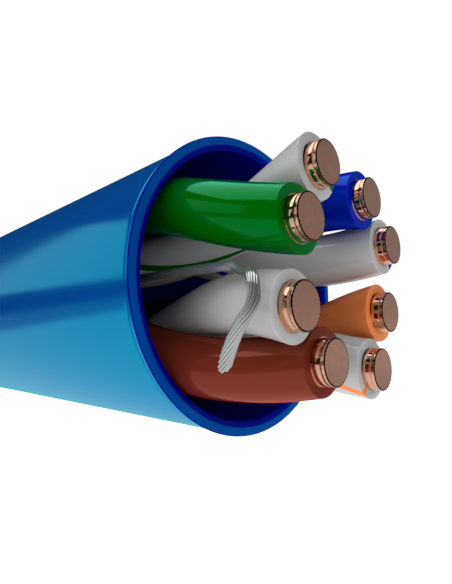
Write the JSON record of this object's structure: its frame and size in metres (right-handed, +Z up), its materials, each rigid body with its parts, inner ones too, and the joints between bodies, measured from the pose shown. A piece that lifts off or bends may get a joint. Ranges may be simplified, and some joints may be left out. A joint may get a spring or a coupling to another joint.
{
  "type": "twisted pair cable end",
  "caption": "Short length of round blue twisted pair data cable, trimmed at one end to show its insulated wires, bare copper tips and ripcord.",
  "frame": {"origin": "centre of the jacket's mouth, on the cable's axis", "axes": "+X along the cable and out of the mouth, +Z up, +Y to the left of someone looking along +X"},
  "size_m": [0.0324, 0.0062, 0.0062],
  "materials": {
    "jacket_plastic": "smooth glossy sheath",
    "white_plastic": "smooth semi-gloss",
    "blue_plastic": "smooth semi-gloss",
    "green_plastic": "smooth semi-gloss",
    "brown_plastic": "smooth semi-gloss",
    "orange_plastic": "smooth semi-gloss",
    "bare_copper": "polished copper",
    "ripcord_fibre": "silky twisted filament"
  },
  "bodies": {
    "jacket": {"jacket": "jacket_plastic"},
    "ripcord": {"ripcord": "ripcord_fibre"},
    "pair_blue": {"conductor_blue": "bare_copper", "insulation_blue": "blue_plastic", "conductor_white_blue": "bare_copper", "insulation_white_blue": "white_plastic", "stripe_blue": "blue_plastic"},
    "pair_green": {"conductor_green": "bare_copper", "insulation_green": "green_plastic", "conductor_white_green": "bare_copper", "insulation_white_green": "white_plastic", "stripe_green": "green_plastic"},
    "pair_brown": {"conductor_brown": "bare_copper", "insulation_brown": "brown_plastic", "conductor_white_brown": "bare_copper", "insulation_white_brown": "white_plastic", "stripe_brown": "brown_plastic"},
    "pair_orange": {"conductor_orange": "bare_copper", "insulation_orange": "orange_plastic", "conductor_white_orange": "bare_copper", "insulation_white_orange": "white_plastic", "stripe_orange": "orange_plastic"}
  },
  "joints": [
    {"name": "draw_pair_blue", "type": "slide", "parent": "jacket", "child": "pair_blue", "axis": [1, 0, 0], "range_m": [0, 0.02]},
    {"name": "draw_pair_green", "type": "slide", "parent": "jacket", "child": "pair_green", "axis": [1, 0, 0], "range_m": [0, 0.02]},
    {"name": "draw_pair_brown", "type": "slide", "parent": "jacket", "child": "pair_brown", "axis": [1, 0, 0], "range_m": [0, 0.02]},
    {"name": "draw_pair_orange", "type": "slide", "parent": "jacket", "child": "pair_orange", "axis": [1, 0, 0], "range_m": [0, 0.02]},
    {"name": "draw_ripcord", "type": "slide", "parent": "jacket", "child": "ripcord", "axis": [1, 0, 0], "range_m": [0, 0.02]}
  ]
}
